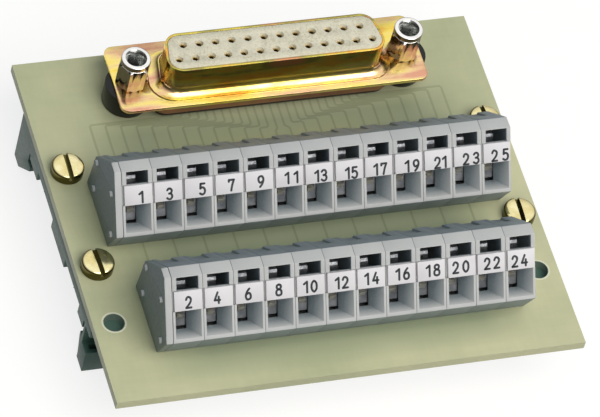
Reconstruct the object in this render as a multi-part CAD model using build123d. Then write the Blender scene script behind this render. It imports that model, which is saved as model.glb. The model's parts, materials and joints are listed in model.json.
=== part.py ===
from build123d import *
import math
import os

# Interface module for a mounting rail: a printed board on two rail feet, with a 25-way
# socket connector and two rows of spring clamp terminals. Lengths are in millimetres.
# X runs along the terminal rows, +Y points to the connector's side of the board, Z is up.
# The origin lies under the middle of the board, at the height of the feet's lowest faces.

# Board
board_length = 79.0
board_width = 68.4
board_thickness = 1.6
foot_height = 11.1
board_underside = foot_height
board_top = board_underside + board_thickness
tail_length_below = 1.5

# Open holes for fastening the board elsewhere
spare_hole_radius = 1.75
spare_hole_x = 36.0
spare_hole_y = -19.0

# Terminals: sizes of one housing, seen from its side. The rear lower edge is the
# outline's zero point and the outline runs towards -Y.
pitch = 5.08
seam_gap = 0.04
terminal_rear_height = 8.05
terminal_rear_lean = 1.0
terminal_roof_run = 6.1
terminal_roof_rise = 6.2
terminal_crest_width = 2.15
terminal_face_run = 6.6
terminal_face_drop = 8.55
terminal_undercut = 2.6
housing_wall = 0.8
side_wall = 0.7
roof_pocket_x = (0.8, 3.2)
roof_pocket_start = 4.4
roof_pocket_depth = 0.35

# Openings in the inclined face, measured down the face from the crest
slot_start = 0.1
slot_height = 2.15
slot_width = 3.6
tag_height = 3.35
tag_width = 4.65
tag_thickness = 0.6
tag_seat_depth = 0.3
tag_play = 0.04
entry_height = 4.6
entry_width = 4.25
funnel_depth = 3.3
funnel_inset_left = 0.95
funnel_inset_right = 1.6
funnel_inset_top = 0.95
funnel_inset_low = 0.7
funnel_lid = 0.5

# Rows: poles, left seam and rear edge
row_poles = {1: 13, 2: 12}
first_row_left = -32.05
row_left = {1: first_row_left, 2: first_row_left + pitch / 2}
row_rear = {1: 9.0, 2: -12.45}
end_plate_thickness = 1.2
peg_radius = 0.6
peg_height = 0.5
peg_places = [(-2.3, 8.0), (-3.4, 2.7), (-10.2, 10.1), (-13.6, 3.9)]

# Current bar and clamp spring inside each housing
bar_thickness = 0.8
bar_width = 1.1
bar_top = 6.65
bar_rear = 2.2
bar_tip = 11.2
pin_width = 0.8
pin_spacing = 7.2
pin_hole_radius = 0.65
spring_thickness = 0.4
spring_width = 2.0
spring_loop_radius = 1.25
spring_loop_y = -5.3
spring_loop_steps = 4
spring_loop_turn = 143.0
spring_crest_down = 1.3
spring_crest_inward = 3.3
spring_crest_radius = 0.8
spring_crest_steps = 3
spring_leg_down = 9.1
spring_leg_inward = 3.95
spring_start_y = -8.6
spring_window_width = 1.3
spring_window_height = 2.6
fit_clearance = 0.1

# Socket connector
connector_x = 1.05
connector_y = 24.6
contact_pitch = 2.77
contact_row_spacing = 2.84
contact_counts = {"near": 13, "far": 12}
shell_end_margin = 5.16
shell_width = (contact_counts["near"] - 1) * contact_pitch + shell_end_margin
shell_depth = 7.9
shell_side_angle = 10.0
shell_corner = 2.6
shell_wall = 0.5
shell_height = 6.2
screw_margin = 8.64
screw_spacing = shell_width + screw_margin
flange_end_margin = 6.0
flange_length = screw_spacing + flange_end_margin
flange_near_reach = 6.28
flange_far_reach = 7.4
flange_corner = 1.6
flange_thickness = 0.7
flange_height = 5.0
pad_margin = 1.3
pad_end_margin = 2.3
pad_height = 0.35
rear_shell_length = shell_width + 2.8
rear_shell_width = 10.7
rear_shell_depth = 2.4
rear_shell_wall = 0.5
rear_body_depth = 3.4
standoff_radius = 3.9
standoff_shift = 0.25
standoff_clearance = 0.3
shell_clearance = 0.04
socket_hole_radius = 0.68
socket_recess = 0.7
contact_radius = 0.6
contact_bore_radius = 0.45
fine_hole_sides = 8
fastener_sides = 12
contact_bore_depth = 4.5
contact_tail = 0.6
tail_hole_radius = 0.5

# Jackscrews and their nuts
jackscrew_across_flats = 4.75
jackscrew_collar_radius = 2.45
jackscrew_collar_height = 1.0
jackscrew_height = 5.9
jackscrew_shank_radius = 1.4
jackscrew_bore_radius = 1.15
jackscrew_mouth_radius = 1.7
jackscrew_bore_depth = 5.0
shank_clearance = 0.15
jack_nut_across_flats = 6.35
jack_nut_height = 2.4
nut_clearance = 0.05

# Foot screws and nuts
foot_x = 36.0
foot_screw_y = [11.45, -8.0]
screw_shank_radius = 1.5
screw_head_radius = 2.7
screw_head_height = 2.0
screw_slot_width = 0.8
screw_slot_depth = 0.9
screw_head_crown = 0.35
screw_head_bevel = 0.4
foot_nut_across_flats = 5.5
foot_nut_height = 2.4
nut_pocket_depth = 1.2
screw_tip = 0.5

# Rail feet. The rail's edges catch above the nubs of the hook and the latch.
rail_width = 35.0
rail_centre_y = 1.85
rail_play = 0.15
rail_flange_room = 1.3
foot_width = 7.0
foot_bar_thickness = 2.0
rail_face_drop = 4.0
hook_catch = 1.25
hook_arm = 2.6
hook_end_y = 25.5
hook_slit_width = 0.5
hook_slit_drop = 3.2
latch_catch = 0.65
latch_slit_width = 0.5
latch_leg = 0.7
latch_end_y = -18.9
latch_lead_height = 1.2
nub_height = 1.0
nut_room = 0.3
far_pad_y = foot_screw_y[0] + foot_nut_across_flats / 2 + nut_room
middle_pad_y = (-3.3, 5.0)
near_pad_y = -12.2
tongue_end_y = -22.5
tongue_width = 5.0
pocket_width = 5.2
pocket_depth = 0.9
pocket_wall = 0.8


def prism(points, x_start, x_end):
    """Solid whose side view is the outline points (Y, Z), from x_start to x_end."""
    face = make_face(Polyline(*points, close=True))
    side = Plane(origin=(x_start, 0, 0), x_dir=(0, 1, 0), z_dir=(1, 0, 0))
    return extrude(side * face, x_end - x_start)


def block(x_range, y_range, z_range):
    """Rectangular solid between two places on each axis."""
    size = [high - low for low, high in (x_range, y_range, z_range)]
    corner = (x_range[0], y_range[0], z_range[0])
    return Pos(*corner) * Box(*size, align=(Align.MIN, Align.MIN, Align.MIN))


def upright(radius, bottom, top, x=0, y=0):
    """Round solid about a vertical axis, between two heights."""
    height = top - bottom
    return Pos(x, y, bottom) * Cylinder(radius, height, align=(Align.CENTER, Align.CENTER, Align.MIN))


def many_sided(radius, sides, bottom, top, x, y):
    """Upright prism for a small round feature that repeats, with few flats."""
    return extrude(Pos(x, y, bottom) * RegularPolygon(radius, sides), top - bottom)


def hexagon(across_flats, bottom, top, x, y):
    """Six-sided solid about a vertical axis, between two heights."""
    shape = RegularPolygon(across_flats / 2, 6, major_radius=False)
    return extrude(Pos(x, y, bottom) * shape, top - bottom)


# Terminal outline, as named corners of the side view
rear_top = (-terminal_rear_lean, terminal_rear_height)
crest_rear = (rear_top[0] - terminal_roof_run, rear_top[1] + terminal_roof_rise)
crest_front = (crest_rear[0] - terminal_crest_width, crest_rear[1])
nose = (crest_front[0] - terminal_face_run, crest_front[1] - terminal_face_drop)
toe = (nose[0] + terminal_undercut, 0)
terminal_outline = [(0, 0), rear_top, crest_rear, crest_front, nose, toe]

# Unit steps down the roof and into the housing
roof_length = math.hypot(terminal_roof_run, terminal_roof_rise)
down_roof = (terminal_roof_run / roof_length, -terminal_roof_rise / roof_length)
into_roof = (down_roof[1], -down_roof[0])

# Unit steps down the inclined face and into the housing
face_length = math.hypot(terminal_face_run, terminal_face_drop)
down_face = (-terminal_face_run / face_length, -terminal_face_drop / face_length)
into_face = (terminal_face_drop / face_length, -terminal_face_run / face_length)
tag_start = slot_start + slot_height
entry_start = tag_start + tag_height
cavity_width = pitch - seam_gap - side_wall
cavity_middle = cavity_width / 2
rear_pin_y = -bar_rear - bar_thickness / 2
front_pin_y = rear_pin_y - pin_spacing


def on_face(down, inward):
    """Point of the side view that lies down the inclined face and inward from it."""
    y = crest_front[0] + down * down_face[0] + inward * into_face[0]
    z = crest_front[1] + down * down_face[1] + inward * into_face[1]
    return (y, z)


def on_roof(down, inward):
    """Point of the side view that lies down the roof from the crest and inward from it."""
    y = crest_rear[0] + down * down_roof[0] + inward * into_roof[0]
    z = crest_rear[1] + down * down_roof[1] + inward * into_roof[1]
    return (y, z)


def face_box(down_range, inward_range, x_start, x_end):
    """Solid squared to the inclined face."""
    low, high = down_range
    outer, inner = inward_range
    corners = [on_face(low, outer), on_face(high, outer), on_face(high, inner), on_face(low, inner)]
    return prism(corners, x_start, x_end)


def make_funnel():
    """Space of the wire entry, which narrows on all four sides towards the clamp's window."""
    left = (pitch - entry_width) / 2
    right = left + entry_width
    low = entry_start + entry_height
    depth = funnel_depth + fit_clearance
    side_view = [
        on_face(entry_start, 0),
        on_face(low, 0),
        on_face(low - funnel_inset_low, depth),
        on_face(entry_start + funnel_inset_top, depth),
    ]
    y, z = on_face(entry_start, 0)
    plane = Plane(origin=(0, y, z), x_dir=(1, 0, 0), z_dir=(0, *down_face))
    plan = [(left, 0), (right, 0), (right - funnel_inset_right, -depth), (left + funnel_inset_left, -depth)]
    spread = extrude(plane * make_face(Polyline(*plan, close=True)), entry_height)
    return prism(side_view, left, right) & spread


def make_housing():
    """One moulded housing, open on its left side, where the next one's wall closes it."""
    width = pitch - seam_gap
    body = prism(terminal_outline, 0, width)
    inner_face = offset(make_face(Polyline(*terminal_outline, close=True)), amount=-housing_wall)
    side = Plane(origin=(0, 0, 0), x_dir=(0, 1, 0), z_dir=(1, 0, 0))
    cavity = extrude(side * inner_face, cavity_width)
    slot_x = (pitch - slot_width) / 2
    reach = housing_wall + 0.2
    slot = face_box((slot_start, slot_start + slot_height), (-reach, reach), slot_x, slot_x + slot_width)
    seat = face_box((tag_start, tag_start + tag_height), (-reach, tag_seat_depth), -1, pitch + 1)
    pocket_end = roof_length + reach
    pocket_outline = [
        on_roof(roof_pocket_start, -reach),
        on_roof(pocket_end, -reach),
        on_roof(pocket_end, roof_pocket_depth),
        on_roof(roof_pocket_start, roof_pocket_depth),
    ]
    pocket = prism(pocket_outline, *roof_pocket_x)
    block_start = entry_start - funnel_lid
    funnel_block = face_box((block_start, face_length), (tag_seat_depth, funnel_depth), 0, cavity_width)
    housing = body - cavity + funnel_block - seat - slot - pocket - make_funnel()
    notch_end = cavity_middle + pin_width / 2 + fit_clearance
    for pin_y in (rear_pin_y, front_pin_y):
        half = bar_thickness / 2 + fit_clearance
        housing -= block((-1, notch_end), (pin_y - half, pin_y + half), (-1, housing_wall + 0.1))
    return housing


def make_current_bar():
    """Bent strip with a tongue for the wire and two solder pins through the board."""
    tip = -bar_tip
    rear = -bar_rear
    tongue_low = bar_top - bar_thickness
    floor = housing_wall
    outline = [
        (tip, tongue_low),
        (tip, bar_top),
        (rear, bar_top),
        (rear, floor),
        (front_pin_y - bar_thickness / 2, floor),
        (front_pin_y - bar_thickness / 2, floor + bar_thickness),
        (rear - bar_thickness, floor + bar_thickness),
        (rear - bar_thickness, tongue_low),
    ]
    bar = prism(outline, cavity_middle - bar_width / 2, cavity_middle + bar_width / 2)
    pin_end = -board_thickness - tail_length_below
    for pin_y in (rear_pin_y, front_pin_y):
        bar += block(
            (cavity_middle - pin_width / 2, cavity_middle + pin_width / 2),
            (pin_y - bar_thickness / 2, pin_y + bar_thickness / 2),
            (pin_end, floor + bar_thickness),
        )
    return bar


def strip_outline(points, thickness):
    """Outline of a bent strip, from the corners of its middle line."""
    headings = []
    for start, end in zip(points, points[1:]):
        headings.append(math.atan2(end[1] - start[1], end[0] - start[0]))
    arriving = [headings[0]] + headings
    leaving = headings + [headings[-1]]
    left = []
    right = []
    for (y, z), before, after in zip(points, arriving, leaving):
        across = (before + after) / 2 + math.pi / 2
        reach = thickness / 2 / math.cos((after - before) / 2)
        left.append((y + reach * math.cos(across), z + reach * math.sin(across)))
        right.append((y - reach * math.cos(across), z - reach * math.sin(across)))
    return left + right[::-1]


def rounded_corner(before, corner, after, radius, steps):
    """Points of the arc that replaces a corner between two straight runs."""
    start = math.atan2(before[1] - corner[1], before[0] - corner[0])
    end = math.atan2(after[1] - corner[1], after[0] - corner[0])
    turn = (end - start + math.pi) % (2 * math.pi) - math.pi
    middle = start + turn / 2
    reach = radius / math.sin(abs(turn) / 2)
    centre = (corner[0] + reach * math.cos(middle), corner[1] + reach * math.sin(middle))
    sweep = math.copysign(math.pi - abs(turn), turn)
    points = []
    for step in range(steps + 1):
        angle = middle + math.pi + sweep * (0.5 - step / steps)
        points.append((centre[0] + radius * math.cos(angle), centre[1] + radius * math.sin(angle)))
    return points


def make_clamp_spring():
    """Bent strip: a leg on the bar, a rear loop, a rising arm and a leg with a window."""
    leg_z = bar_top + spring_thickness / 2
    points = [(spring_start_y, leg_z)]
    for step in range(spring_loop_steps + 1):
        angle = math.radians(spring_loop_turn * step / spring_loop_steps - 90)
        y = spring_loop_y + spring_loop_radius * math.cos(angle)
        z = leg_z + spring_loop_radius + spring_loop_radius * math.sin(angle)
        points.append((y, z))
    crest = on_face(spring_crest_down, spring_crest_inward)
    leg_end = on_face(spring_leg_down, spring_leg_inward)
    points += rounded_corner(points[-1], crest, leg_end, spring_crest_radius, spring_crest_steps)
    points.append(leg_end)
    left = cavity_middle - spring_width / 2
    spring = prism(strip_outline(points, spring_thickness), left, left + spring_width)
    half_window = spring_window_width / 2
    window_low = bar_top - bar_thickness
    window = block(
        (cavity_middle - half_window, cavity_middle + half_window),
        (points[-1][0] - 1, spring_start_y - fit_clearance),
        (window_low, window_low + spring_window_height),
    )
    return spring - window


def make_tag():
    """Marking tag in the shallow seat between the slot and the wire entry."""
    margin = (pitch - tag_width) / 2
    down = (tag_start + tag_play, tag_start + tag_height - tag_play)
    proud = tag_seat_depth - tag_thickness
    return face_box(down, (proud, tag_seat_depth), margin, margin + tag_width)


def make_end_plate():
    """Cover for the open side of a row's first housing, with four round studs outside."""
    plate = prism(terminal_outline, -end_plate_thickness, -seam_gap)
    for peg_y, peg_z in peg_places:
        stud = extrude(RegularPolygon(peg_radius, fastener_sides), peg_height)
        plate += Pos(-end_plate_thickness, peg_y, peg_z) * Rot(0, -90, 0) * stud
    return plate


def d_outline(width, depth, corner):
    """Outline of the connector's mating face, with its wide side towards -Y."""
    taper = depth * math.tan(math.radians(shell_side_angle))
    half = width / 2
    points = [(-half, -depth / 2), (half, -depth / 2), (half - taper, depth / 2), (taper - half, depth / 2)]
    face = make_face(Polyline(*points, close=True))
    return fillet(face.vertices(), corner)


def at_connector(shape, z):
    """Places a flat outline or a solid at the connector's centre and a height."""
    return Pos(connector_x, connector_y, z) * shape


flange_face = board_top + flange_height
flange_underside = flange_face - flange_thickness
mating_face = flange_face + shell_height
rear_shell_bottom = flange_underside - rear_shell_depth
rear_body_bottom = flange_underside - rear_body_depth
screw_places = [(connector_x + side * screw_spacing / 2, connector_y) for side in (-1, 1)]


def contact_places(row):
    """Centres of one row of contacts."""
    count = contact_counts[row]
    y = connector_y + contact_row_spacing / 2 * (-1 if row == "near" else 1)
    return [(connector_x + (index - (count - 1) / 2) * contact_pitch, y) for index in range(count)]


def make_front_shell():
    """Drawn steel shell: flange, raised pad and the skirt round the mating face."""
    flange_width = flange_near_reach + flange_far_reach
    flange = extrude(RectangleRounded(flange_length, flange_width, flange_corner), flange_thickness)
    flange_middle = (flange_far_reach - flange_near_reach) / 2
    shell = at_connector(Pos(0, flange_middle, 0) * flange, flange_underside)
    pad = d_outline(shell_width + 2 * pad_end_margin, shell_depth + 2 * pad_margin, shell_corner + pad_margin)
    shell += at_connector(extrude(pad, pad_height), flange_face)
    skirt = d_outline(shell_width, shell_depth, shell_corner)
    shell += at_connector(extrude(skirt, shell_height), flange_face)
    inside = d_outline(shell_width - 2 * shell_wall, shell_depth - 2 * shell_wall, shell_corner - shell_wall)
    shell -= at_connector(extrude(inside, shell_height + 2 * flange_thickness), flange_underside - 0.1)
    for x, y in screw_places:
        hole = jackscrew_shank_radius + shank_clearance
        shell -= upright(hole, flange_underside - 1, flange_face + 1, x, y)
    return shell


def make_rear_shell():
    """Steel tray behind the flange, open towards the board."""
    outer = RectangleRounded(rear_shell_length, rear_shell_width, shell_corner)
    tray = extrude(outer, rear_shell_depth)
    inner_length = rear_shell_length - 2 * rear_shell_wall
    inner_width = rear_shell_width - 2 * rear_shell_wall
    inner = RectangleRounded(inner_length, inner_width, shell_corner - rear_shell_wall)
    tray -= extrude(inner, rear_shell_depth)
    return at_connector(tray, rear_shell_bottom)


def make_front_insulator():
    """Moulded block that fills the skirt, with a hole over each contact."""
    inset = shell_wall + shell_clearance
    outline = d_outline(shell_width - 2 * inset, shell_depth - 2 * inset, shell_corner - inset)
    body = at_connector(extrude(outline, mating_face - flange_underside), flange_underside)
    for row in contact_counts:
        for x, y in contact_places(row):
            body -= many_sided(socket_hole_radius, fine_hole_sides, flange_underside - 1, mating_face + 1, x, y)
    return body


def make_rear_insulator():
    """Moulded block in the rear shell that the contact tails pass through."""
    inset = 2 * (rear_shell_wall + shell_clearance)
    length = rear_shell_length - inset
    width = rear_shell_width - inset
    outline = RectangleRounded(length, width, shell_corner - inset / 2)
    body = at_connector(extrude(outline, flange_underside - rear_body_bottom), rear_body_bottom)
    half = contact_tail / 2 + shell_clearance
    for row in contact_counts:
        places = contact_places(row)
        y = places[0][1]
        ends = (places[0][0] - half, places[-1][0] + half)
        body -= block(ends, (y - half, y + half), (rear_body_bottom - 1, flange_underside + 1))
    return body


def make_contact(x, y):
    """Socket contact: a bored barrel in the front block and a tail through the board."""
    barrel_top = mating_face - socket_recess
    bore_end = barrel_top - contact_bore_depth
    contact = many_sided(contact_radius, fine_hole_sides, flange_underside, barrel_top, x, y)
    contact -= many_sided(contact_bore_radius, fine_hole_sides, bore_end, barrel_top + 1, x, y)
    half = contact_tail / 2
    tail_end = board_underside - tail_length_below
    contact += block((x - half, x + half), (y - half, y + half), (tail_end, flange_underside))
    return contact


def make_standoff(side):
    """Round plastic spacer between the board and the flange, cut flat beside the rear shell."""
    x, y = screw_places[0 if side < 0 else 1]
    spacer = upright(standoff_radius, board_top, flange_underside, x + side * standoff_shift, y)
    flat = connector_x + side * (rear_shell_length / 2 + standoff_clearance)
    inner = flat - side * 2 * standoff_radius
    reach = (y - 2 * standoff_radius, y + 2 * standoff_radius)
    spacer -= block((min(flat, inner), max(flat, inner)), reach, (board_top - 1, flange_face))
    return spacer - upright(jackscrew_shank_radius + shank_clearance, board_top - 1, flange_face, x, y)


def make_jackscrew(x, y):
    """Hexagonal screw with a turned collar, a threaded bore and a shank through the board."""
    top = flange_face + jackscrew_height
    collar_low = top - jackscrew_collar_height
    screw = hexagon(jackscrew_across_flats, flange_face, collar_low, x, y)
    screw += upright(jackscrew_collar_radius, collar_low, top, x, y)
    shank_end = board_underside - jack_nut_height - screw_tip
    screw += many_sided(jackscrew_shank_radius, fastener_sides, shank_end, flange_face, x, y)
    screw -= upright(jackscrew_bore_radius, top - jackscrew_bore_depth, top + 1, x, y)
    depth = jackscrew_mouth_radius - jackscrew_bore_radius
    mouth = Cone(jackscrew_bore_radius, jackscrew_mouth_radius, depth)
    return screw - Pos(x, y, top - depth / 2) * mouth


def make_nut(across_flats, height, bore, x, y, top):
    """Plain hexagon nut below a face."""
    nut = hexagon(across_flats, top - height, top, x, y)
    return nut - many_sided(bore, fastener_sides, top - height - 1, top + 1, x, y)


foot_nut_top = board_underside - foot_bar_thickness + nut_pocket_depth


def make_foot_screw(x, y):
    """Slotted cheese-head screw, with a slightly domed head."""
    head_top = board_top + screw_head_height
    edge_top = head_top - screw_head_crown
    outline = [
        (0, board_top),
        (screw_head_radius, board_top),
        (screw_head_radius, edge_top),
        (screw_head_radius - screw_head_bevel, head_top),
        (0, head_top),
    ]
    head = revolve(Plane.XZ * make_face(Polyline(*outline, close=True)), Axis.Z)
    tip = foot_nut_top - foot_nut_height - screw_tip
    screw = head + many_sided(screw_shank_radius, fastener_sides, tip, board_top, 0, 0)
    half_slot = screw_slot_width / 2
    reach = screw_head_radius + 1
    screw -= block((-half_slot, half_slot), (-reach, reach), (head_top - screw_slot_depth, head_top + 1))
    return Pos(x, y, 0) * screw


def make_foot(side):
    """Moulded foot with a fixed hook at the far end and a springing latch at the near end."""
    under = board_underside
    bar_low = under - foot_bar_thickness
    rail = under - rail_face_drop
    catch = rail - rail_flange_room
    nub_low = catch - nub_height
    hook_inner = rail_centre_y + rail_width / 2 + rail_play
    hook_tip = hook_inner - rail_play - hook_catch
    latch_inner = rail_centre_y - rail_width / 2 - rail_play
    latch_tip = latch_inner + rail_play + latch_catch
    latch_outer = latch_inner - latch_leg
    outline = [
        (hook_end_y, under),
        (hook_end_y, 0),
        (hook_end_y - hook_arm, 0),
        (hook_tip, nub_low),
        (hook_tip, catch),
        (hook_inner, catch),
        (hook_inner, under - hook_slit_drop),
        (hook_inner - hook_slit_width, under - hook_slit_drop),
        (hook_inner - hook_slit_width, rail),
        (far_pad_y, rail),
        (far_pad_y, bar_low),
        (middle_pad_y[1], bar_low),
        (middle_pad_y[1], rail),
        (middle_pad_y[0], rail),
        (middle_pad_y[0], bar_low),
        (near_pad_y, bar_low),
        (near_pad_y, rail),
        (latch_inner + latch_slit_width, rail),
        (latch_inner + latch_slit_width, bar_low),
        (latch_inner, bar_low),
        (latch_inner, catch),
        (latch_tip, catch),
        (latch_tip, nub_low),
        (latch_inner, latch_lead_height),
        (latch_inner, 0),
        (latch_end_y, 0),
        (latch_end_y, nub_low),
        (latch_outer, nub_low),
        (latch_outer, bar_low),
        (latch_end_y, bar_low),
        (latch_end_y, under),
    ]
    left = side * foot_x - foot_width / 2
    foot = prism(outline, left, left + foot_width)
    tongue_left = side * foot_x - tongue_width / 2
    foot += block((tongue_left, tongue_left + tongue_width), (tongue_end_y, latch_end_y + 0.5), (bar_low, under))
    pocket_left = side * foot_x - pocket_width / 2
    pocket_y = latch_end_y + pocket_wall
    foot -= block(
        (pocket_left, pocket_left + pocket_width), (pocket_y, pocket_y + pocket_depth), (pocket_wall, nub_low + 1)
    )
    across = foot_nut_across_flats + 2 * fit_clearance
    for y in foot_screw_y:
        foot -= upright(screw_shank_radius + shank_clearance, bar_low - 1, under + 1, side * foot_x, y)
        foot -= hexagon(across, bar_low - 1, bar_low + nut_pocket_depth, side * foot_x, y)
    return foot


def make_board():
    """Printed board with every hole that a pin, a screw or a fastener passes through."""
    board = block(
        (-board_length / 2, board_length / 2),
        (-board_width / 2, board_width / 2),
        (board_underside, board_top),
    )
    holes = [(x, y, jackscrew_shank_radius + shank_clearance) for x, y in screw_places]
    for side in (-1, 1):
        holes.append((side * spare_hole_x, spare_hole_y, spare_hole_radius))
        holes += [(side * foot_x, y, screw_shank_radius + shank_clearance) for y in foot_screw_y]
    pin_holes = [(x, y, tail_hole_radius) for row in contact_counts for x, y in contact_places(row)]
    for row, poles in row_poles.items():
        for pole in range(poles):
            x = row_left[row] + pole * pitch + cavity_middle
            pin_holes += [(x, row_rear[row] + pin_y, pin_hole_radius) for pin_y in (rear_pin_y, front_pin_y)]
    low = board_underside - 1
    high = board_top + 1
    drills = [upright(radius, low, high, x, y) for x, y, radius in holes]
    drills += [many_sided(radius, fine_hole_sides, low, high, x, y) for x, y, radius in pin_holes]
    return board - drills


def in_row(shape, row, pole):
    """Places a terminal piece at one pole of a row."""
    return Pos(row_left[row] + pole * pitch, row_rear[row], board_top) * shape


def make_parts():
    """All pieces, by name."""
    parts = {"board": make_board()}
    parts["connector_front_shell"] = make_front_shell()
    parts["connector_rear_shell"] = make_rear_shell()
    parts["connector_front_insulator"] = make_front_insulator()
    parts["connector_rear_insulator"] = make_rear_insulator()
    for row in contact_counts:
        parts[f"contacts_{row}_row"] = Compound([make_contact(x, y) for x, y in contact_places(row)])
    for name, side, (x, y) in zip(("left", "right"), (-1, 1), screw_places):
        parts[f"standoff_{name}"] = make_standoff(side)
        parts[f"jackscrew_{name}"] = make_jackscrew(x, y)
        bore = jackscrew_shank_radius + nut_clearance
        parts[f"jackscrew_nut_{name}"] = make_nut(
            jack_nut_across_flats, jack_nut_height, bore, x, y, board_underside
        )
    housing = make_housing()
    bar = make_current_bar()
    spring = make_clamp_spring()
    tag = make_tag()
    for row, poles in row_poles.items():
        for pole in range(poles):
            number = 2 * pole + row
            parts[f"terminal_housing_{number:02d}"] = in_row(housing, row, pole)
        parts[f"current_bars_row_{row}"] = Compound([in_row(bar, row, pole) for pole in range(poles)])
        parts[f"clamp_springs_row_{row}"] = Compound([in_row(spring, row, pole) for pole in range(poles)])
        parts[f"marking_tags_row_{row}"] = Compound([in_row(tag, row, pole) for pole in range(poles)])
        parts[f"end_plate_row_{row}"] = in_row(make_end_plate(), row, 0)
    for name, side in (("left", -1), ("right", 1)):
        parts[f"rail_foot_{name}"] = make_foot(side)
        for place, y in zip(("far", "near"), foot_screw_y):
            parts[f"foot_screw_{name}_{place}"] = make_foot_screw(side * foot_x, y)
            parts[f"foot_nut_{name}_{place}"] = make_nut(
                foot_nut_across_flats,
                foot_nut_height,
                screw_shank_radius + nut_clearance,
                side * foot_x,
                y,
                foot_nut_top,
            )
    return parts


def write_parts():
    """Writes each piece to its own file."""
    os.makedirs("parts", exist_ok=True)
    for name, shape in make_parts().items():
        export_step(shape, f"parts/{name}.step")


write_parts()
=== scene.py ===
import json
import math
import random

import bmesh
import bpy
from mathutils import Matrix, Vector


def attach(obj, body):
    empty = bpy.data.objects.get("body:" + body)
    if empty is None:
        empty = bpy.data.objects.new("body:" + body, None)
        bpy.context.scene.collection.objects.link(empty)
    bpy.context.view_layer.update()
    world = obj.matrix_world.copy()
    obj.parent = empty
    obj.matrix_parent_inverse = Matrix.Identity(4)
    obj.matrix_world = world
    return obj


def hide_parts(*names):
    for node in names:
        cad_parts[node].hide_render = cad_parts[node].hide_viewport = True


# The rail interface module's finishes, fine detail, light and camera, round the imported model.
# Lengths named here are in millimetres and angles in degrees, in the model's own frame.

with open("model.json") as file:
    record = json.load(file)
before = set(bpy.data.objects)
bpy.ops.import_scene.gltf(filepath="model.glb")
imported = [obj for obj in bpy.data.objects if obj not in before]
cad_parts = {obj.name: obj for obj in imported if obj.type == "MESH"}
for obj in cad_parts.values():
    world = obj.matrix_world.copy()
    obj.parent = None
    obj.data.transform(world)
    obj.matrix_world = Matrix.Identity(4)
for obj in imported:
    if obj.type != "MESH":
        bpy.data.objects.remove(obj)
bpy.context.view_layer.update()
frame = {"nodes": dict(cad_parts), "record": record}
nodes = frame["nodes"]
node_slots = {entry["node"]: entry["material_slot"] for entry in frame["record"]["subparts"]}
MM = 0.001
per_metre = 1000
random.seed(25)

# Camera, fitted to the photograph's edges
image_width = 600
focal_pixels = 5334.8
sensor_width = 36.0
camera_azimuth = 28.789
camera_elevation = 51.042
camera_roll = 16.325
camera_distance = 866.38
camera_target = (0.221, -1.256, 12.7)
nearest_shown = 10.0
farthest_shown = 20000.0

# Board, and the two holes in it that stay free
board_underside = 11.1
board_top = 12.7
spare_holes = ((-36.0, -19.0), (36.0, -19.0))
spare_hole_radius = 1.75
hole_ring_width = 0.3
hole_ring_lift = 0.015
# Thickness of the dark lining that paints shade on the holes' walls
shade_lining_thickness = 0.06

# Terminal rows: the first pole's left seam, the rear face, and the roof's crest from that face
# and from the board
pitch = 5.08
row_poles = {1: 13, 2: 12}
row_left = {1: -32.05, 2: -29.51}
row_rear = {1: 9.0, 2: -12.45}
crest_offset = -9.25
crest_height = 14.25

# Sloping face that runs down from the crest
face_run = 6.6
face_drop = 8.55
face_length = math.hypot(face_run, face_drop)
down_face = Vector((0, -face_run / face_length, -face_drop / face_length))
into_face = Vector((0, face_drop / face_length, -face_run / face_length))
# Direction of the grey plastic's painted light: faces turned towards it keep the plain tone, faces
# turned away get painted shade
painted_light_rise = 0.4
painted_light_direction = -into_face + Vector((0, 0, painted_light_rise))

# Marking tags in their seats on that face, and how unevenly they sit, with the tilt as a slope
tag_start = 2.25
tag_height = 3.35
tag_width = 4.65
tag_proud = 0.3
tag_play = 0.04
tag_seat_depth = 0.3
tag_edge = 0.06
tag_shifts = (0.05, 0.03)
tag_tilt = 0.008
tag_sink = 0.04
tag_lift = 0.03

# Connector and its contacts, counted across both rows from the left
connector_x = 1.05
connector_y = 24.6
flange_face = 17.7
contact_pitch = 2.77
contact_row_spacing = 2.84
contact_count = sum(row_poles.values())

# Solder pins of a terminal, from its left seam and its rear face
pin_x = 2.17
pin_y = (-2.6, -9.8)

# Tracks from the contacts to the solder pins, with the joints' (radius, drop) outline
track_width = 0.36
track_thickness = 0.02
track_corner = 0.3
least_jog = 3 * track_corner
first_lane = 20.2
lane_step = 0.4
solder_outline = ((1.0, 0.0), (0.72, 0.1), (0.55, 0.4), (0.46, 0.9), (0.3, 1.15))

# Fading edges of the painted shade on the board over the rows and the connector: an axis, where it
# is unshaded and where the shade is full
painted_shade_fades = (("X", -33, -22), ("X", 34, 24), ("Y", -32.5, -27), ("Y", 23, 17))

# Screw threads
thread_step = 0.6
thread_depth = 0.2
thread_crest = 0.1
thread_root = 0.6

# Jackscrews: threaded shank, hexagon, turned collar and threaded bore
screw_spacing = 47.04
jackscrews = {
    "left": (connector_x - screw_spacing / 2, connector_y),
    "right": (connector_x + screw_spacing / 2, connector_y),
}
shank_radius = 1.4
shank_end = 8.2
shank_lead = 0.2
hex_half_width = 2.375
hex_low_chamfer = 0.25
hex_top_chamfer = 0.35
collar_radius = 2.42
collar_start = 22.6
collar_groove = 0.05
collar_edge = 0.12
jack_top = 23.6
rim_edge = 0.16
rim_step = 0.05
bore_mouth = 1.74
bore_edge = 0.04
bore_floor = 18.7
bore_tip_radius = 0.2
bore_tip_depth = 0.1
bore_thread_radius = 1.62
bore_thread_cover = 0.1
bore_thread_start = 0.15

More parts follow.
